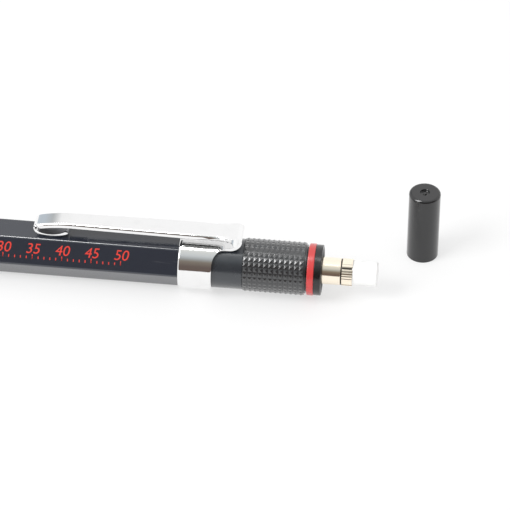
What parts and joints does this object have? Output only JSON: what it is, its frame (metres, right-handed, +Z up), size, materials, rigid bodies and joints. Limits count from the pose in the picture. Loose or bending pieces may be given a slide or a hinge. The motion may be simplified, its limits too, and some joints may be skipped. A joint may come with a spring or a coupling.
{
  "type": "mechanical pencil",
  "caption": "Push-button mechanical pencil with a hexagonal barrel, bent sheet clip, turning grade ring and a push cap taken off to show the eraser.",
  "frame": {"origin": "front end of the lead sleeve, on the pencil's axis", "axes": "+X back along the pencil towards the eraser, +Z up to the side of the clip, +Y away from the side with the red print"},
  "size_m": [0.1524, 0.0197, 0.0134],
  "materials": {
    "barrel_plastic": "black, glossy, flat sides",
    "black_plastic": "black, satin",
    "cap_plastic": "black, glossy",
    "grip_plastic": "black, satin, ring grooves",
    "red_plastic": "red, glossy",
    "scale_plastic": "white, printed grades",
    "inner_plastic": "natural",
    "clip_chrome": "polished",
    "bright_nickel": "nickel plated, polished",
    "satin_nickel": "nickel plated, satin",
    "steel": "stainless, ground",
    "spring_steel": "drawn wire",
    "brass": "turned",
    "rubber": "moulded",
    "eraser_white": "white, matt",
    "lead": "graphite"
  },
  "bodies": {
    "pencil": {"barrel": "barrel_plastic", "front_grip": "grip_plastic", "tip_cone": "satin_nickel", "lead_sleeve": "steel", "lead_retainer": "rubber", "chuck_housing": "brass", "return_spring": "spring_steel", "pocket_clip": "clip_chrome", "window_sleeve": "black_plastic", "guide_tube": "black_plastic", "red_ring": "red_plastic", "end_ring": "black_plastic"},
    "push_unit": {"lead_tube": "satin_nickel", "chuck_connector": "inner_plastic", "chuck": "brass", "spare_leads": "lead"},
    "clutch": {"clutch_ring": "brass"},
    "lead_stick": {"lead": "lead"},
    "eraser_unit": {"eraser_holder": "bright_nickel", "eraser": "eraser_white"},
    "grade_unit": {"grade_ring": "black_plastic", "grade_scale": "scale_plastic"},
    "cap": {"push_cap": "cap_plastic"}
  },
  "joints": [
    {"name": "push", "type": "slide", "parent": "pencil", "child": "push_unit", "axis": [-1, 0, 0], "range_m": [0, 0.0035], "stiffness_N_per_m": 600, "springref_m": -0.003, "deforming": ["return_spring"]},
    {"name": "clutch_slide", "type": "slide", "parent": "pencil", "child": "clutch", "axis": [-1, 0, 0], "range_m": [0, 0.0008]},
    {"name": "lead_feed", "type": "slide", "parent": "clutch", "child": "lead_stick", "axis": [-1, 0, 0], "range_m": [0, 0.03]},
    {"name": "eraser_pull", "type": "slide", "parent": "push_unit", "child": "eraser_unit", "axis": [1, 0, 0], "range_m": [0, 0.01]},
    {"name": "grade_turn", "type": "hinge", "parent": "pencil", "child": "grade_unit", "pos_m": [0.1257, 0, 0], "axis": [1, 0, 0], "continuous": true},
    {"name": "cap_lift", "type": "slide", "parent": "pencil", "child": "cap", "axis": [0, 0, 1], "range_m": [0, 0.025]}
  ],
  "couplings": [
    {"joint": "clutch_slide", "follows": "push", "ratio": 0.22856}
  ]
}
